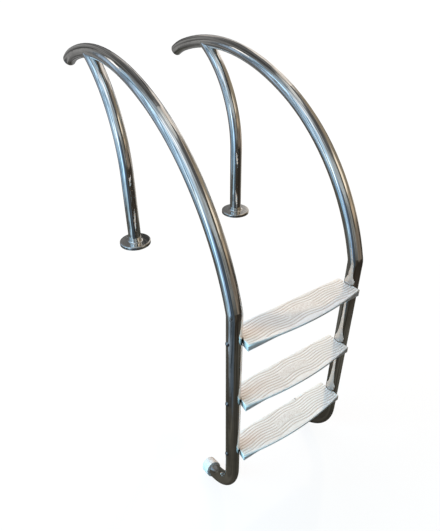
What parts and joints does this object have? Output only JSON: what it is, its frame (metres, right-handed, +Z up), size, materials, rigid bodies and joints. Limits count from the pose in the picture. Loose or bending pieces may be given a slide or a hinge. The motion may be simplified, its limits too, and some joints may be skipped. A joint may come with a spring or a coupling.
{
  "type": "swimming pool ladder",
  "caption": "In-pool ladder: two bent polished tube rails arch over the deck onto round bases, with bolted moulded treads between the legs.",
  "frame": {"origin": "centre of the left base plate's underside, on the deck", "axes": "+X along the treads to the right-hand rail, +Y over the deck away from the water, +Z up"},
  "size_m": [0.603, 1.2179, 1.524],
  "materials": {
    "polished_tube": "mirror-polished stainless steel tube",
    "polished_cover": "mirror-polished pressed stainless steel",
    "steel_plate": "plain stainless steel plate",
    "bolt_steel": "stainless steel",
    "tread_plastic": "white moulded plastic with fine grip grooves",
    "bumper_rubber": "white rubber"
  },
  "bodies": {
    "root": {"left_rail": "polished_tube", "left_post": "polished_tube", "left_base_plate": "steel_plate", "left_base_cover": "polished_cover", "left_tip_cap": "polished_tube", "left_bumper": "bumper_rubber", "left_bolt_1": "bolt_steel", "left_nut_1": "bolt_steel", "left_bolt_2": "bolt_steel", "left_nut_2": "bolt_steel", "left_bolt_3": "bolt_steel", "left_nut_3": "bolt_steel", "right_rail": "polished_tube", "right_post": "polished_tube", "right_base_plate": "steel_plate", "right_base_cover": "polished_cover", "right_tip_cap": "polished_tube", "right_bumper": "bumper_rubber", "right_bolt_1": "bolt_steel", "right_nut_1": "bolt_steel", "right_bolt_2": "bolt_steel", "right_nut_2": "bolt_steel", "right_bolt_3": "bolt_steel", "right_nut_3": "bolt_steel", "tread_1": "tread_plastic", "tread_2": "tread_plastic", "tread_3": "tread_plastic"}
  },
  "joints": []
}
